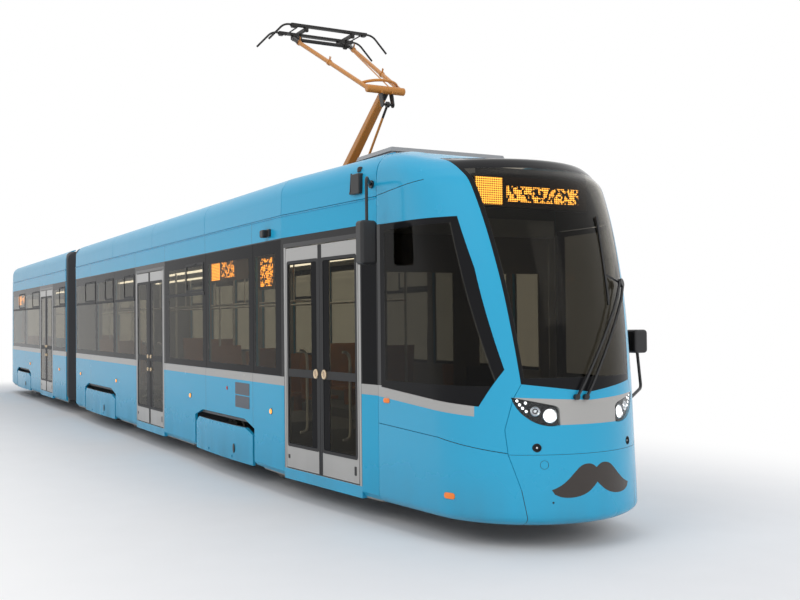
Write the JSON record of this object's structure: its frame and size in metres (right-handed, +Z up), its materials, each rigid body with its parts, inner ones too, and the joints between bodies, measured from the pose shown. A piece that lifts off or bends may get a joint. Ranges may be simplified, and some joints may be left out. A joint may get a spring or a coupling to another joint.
{
  "type": "articulated low-floor tram",
  "caption": "Light rail tram in two hinged sections on swivelling bogies, with a rounded glazed cab, folding current collector and bellows gangway.",
  "frame": {"origin": "on the top of the rails, under the middle of the body's length and width", "axes": "+X forward towards the cab, +Y to the left side, +Z up; wheel flanges reach 25 mm below z = 0"},
  "size_m": [24.8998, 2.768, 5.7668],
  "materials": {
    "body_blue": "gloss",
    "skirt_blue": "gloss",
    "cowl": "gloss",
    "structure": "satin",
    "roof_box": "satin",
    "bogie": "satin",
    "wheel": "worn",
    "glass": "gloss",
    "lamp": "gloss",
    "tail_lamp": "gloss",
    "door_frame": "satin",
    "door_leaf": "gloss",
    "seat": "satin",
    "driver_seat": "matt",
    "pole": "satin",
    "panel": "matt",
    "display": "gloss",
    "trim": "matt",
    "bellows": "matt",
    "orange_steel": "satin",
    "contact_head": "matt"
  },
  "bodies": {
    "front_car": {"front_wall_right": "body_blue", "front_wall_left": "body_blue", "front_floor": "structure", "front_roof": "structure", "front_cowls": "cowl", "front_roof_boxes": "roof_box", "front_glazing": "glass", "front_door_frames": "door_frame", "front_door_leaves": "door_leaf", "front_portal": "structure", "front_seats": "seat", "front_poles": "pole", "cab_shell": "body_blue", "nose_panel": "body_blue", "headlamps": "lamp", "bumper_panel": "body_blue", "cab_glass": "glass", "cab_partition": "panel", "driver_desk": "panel", "driver_seat": "driver_seat", "displays": "display", "mirrors": "trim", "wipers": "trim", "pantograph_base": "orange_steel", "bellows": "bellows"},
    "rear_car": {"rear_wall_right": "body_blue", "rear_wall_left": "body_blue", "rear_floor": "structure", "rear_roof": "structure", "rear_cowls": "cowl", "rear_roof_boxes": "roof_box", "rear_glazing": "glass", "rear_door_frames": "door_frame", "rear_door_leaves": "door_leaf", "rear_portal": "structure", "turntable": "structure", "rear_seats": "seat", "rear_poles": "pole", "tail_shell": "body_blue", "tail_lamps": "tail_lamp"},
    "bogie_1": {"bogie_1_frame": "bogie", "bogie_1_skirts": "skirt_blue", "bogie_1_motors": "bogie"},
    "wheelset_1": {"wheelset_1": "wheel"},
    "wheelset_2": {"wheelset_2": "wheel"},
    "bogie_2": {"bogie_2_frame": "bogie", "bogie_2_skirts": "skirt_blue"},
    "wheelset_3": {"wheelset_3": "wheel"},
    "wheelset_4": {"wheelset_4": "wheel"},
    "bogie_3": {"bogie_3_frame": "bogie", "bogie_3_skirts": "skirt_blue", "bogie_3_motors": "bogie"},
    "wheelset_5": {"wheelset_5": "wheel"},
    "wheelset_6": {"wheelset_6": "wheel"},
    "lower_arm": {"lower_arm": "orange_steel"},
    "upper_arm": {"upper_arm": "orange_steel"},
    "contact_head": {"contact_head": "contact_head"},
    "tie_rod": {"tie_rod": "orange_steel"}
  },
  "joints": [
    {"name": "articulation", "type": "hinge", "parent": "front_car", "child": "rear_car", "pos_m": [-3.4, 0, 0.33], "axis": [0, 0, 1], "range_deg": [-28, 28], "deforming": ["bellows"]},
    {"name": "bogie_1_swivel", "type": "hinge", "parent": "front_car", "child": "bogie_1", "pos_m": [6.52, 0, 0.3], "axis": [0, 0, 1], "range_deg": [-9, 9]},
    {"name": "wheelset_1_spin", "type": "hinge", "parent": "bogie_1", "child": "wheelset_1", "pos_m": [7.42, 0, 0.3], "axis": [0, 1, 0], "continuous": true},
    {"name": "wheelset_2_spin", "type": "hinge", "parent": "bogie_1", "child": "wheelset_2", "pos_m": [5.62, 0, 0.3], "axis": [0, 1, 0], "continuous": true},
    {"name": "bogie_2_swivel", "type": "hinge", "parent": "front_car", "child": "bogie_2", "pos_m": [-0.65, 0, 0.3], "axis": [0, 0, 1], "range_deg": [-9, 9]},
    {"name": "wheelset_3_spin", "type": "hinge", "parent": "bogie_2", "child": "wheelset_3", "pos_m": [0.25, 0, 0.3], "axis": [0, 1, 0], "continuous": true},
    {"name": "wheelset_4_spin", "type": "hinge", "parent": "bogie_2", "child": "wheelset_4", "pos_m": [-1.55, 0, 0.3], "axis": [0, 1, 0], "continuous": true},
    {"name": "bogie_3_swivel", "type": "hinge", "parent": "rear_car", "child": "bogie_3", "pos_m": [-9.88, 0, 0.3], "axis": [0, 0, 1], "range_deg": [-9, 9]},
    {"name": "wheelset_5_spin", "type": "hinge", "parent": "bogie_3", "child": "wheelset_5", "pos_m": [-8.98, 0, 0.3], "axis": [0, 1, 0], "continuous": true},
    {"name": "wheelset_6_spin", "type": "hinge", "parent": "bogie_3", "child": "wheelset_6", "pos_m": [-10.78, 0, 0.3], "axis": [0, 1, 0], "continuous": true},
    {"name": "pantograph_fold", "type": "hinge", "parent": "front_car", "child": "lower_arm", "pos_m": [7.34, 0, 3.56], "axis": [0, 1, 0], "range_deg": [-5, 35]},
    {"name": "pantograph_knee", "type": "hinge", "parent": "lower_arm", "child": "upper_arm", "pos_m": [8.75, 0, 4.62], "axis": [0, 1, 0], "range_deg": [-62, 10]},
    {"name": "pantograph_head", "type": "hinge", "parent": "upper_arm", "child": "contact_head", "pos_m": [7, 0, 5.6], "axis": [0, 1, 0], "range_deg": [-5, 28]},
    {"name": "pantograph_tie", "type": "hinge", "parent": "front_car", "child": "tie_rod", "pos_m": [7.88, 0, 3.455], "axis": [0, 1, 0], "range_deg": [-8, 47]}
  ],
  "couplings": [
    {"joint": "pantograph_knee", "follows": "pantograph_fold", "ratio": -1.754},
    {"joint": "pantograph_head", "follows": "pantograph_fold", "ratio": 0.754},
    {"joint": "pantograph_tie", "follows": "pantograph_fold", "ratio": 1.31}
  ]
}
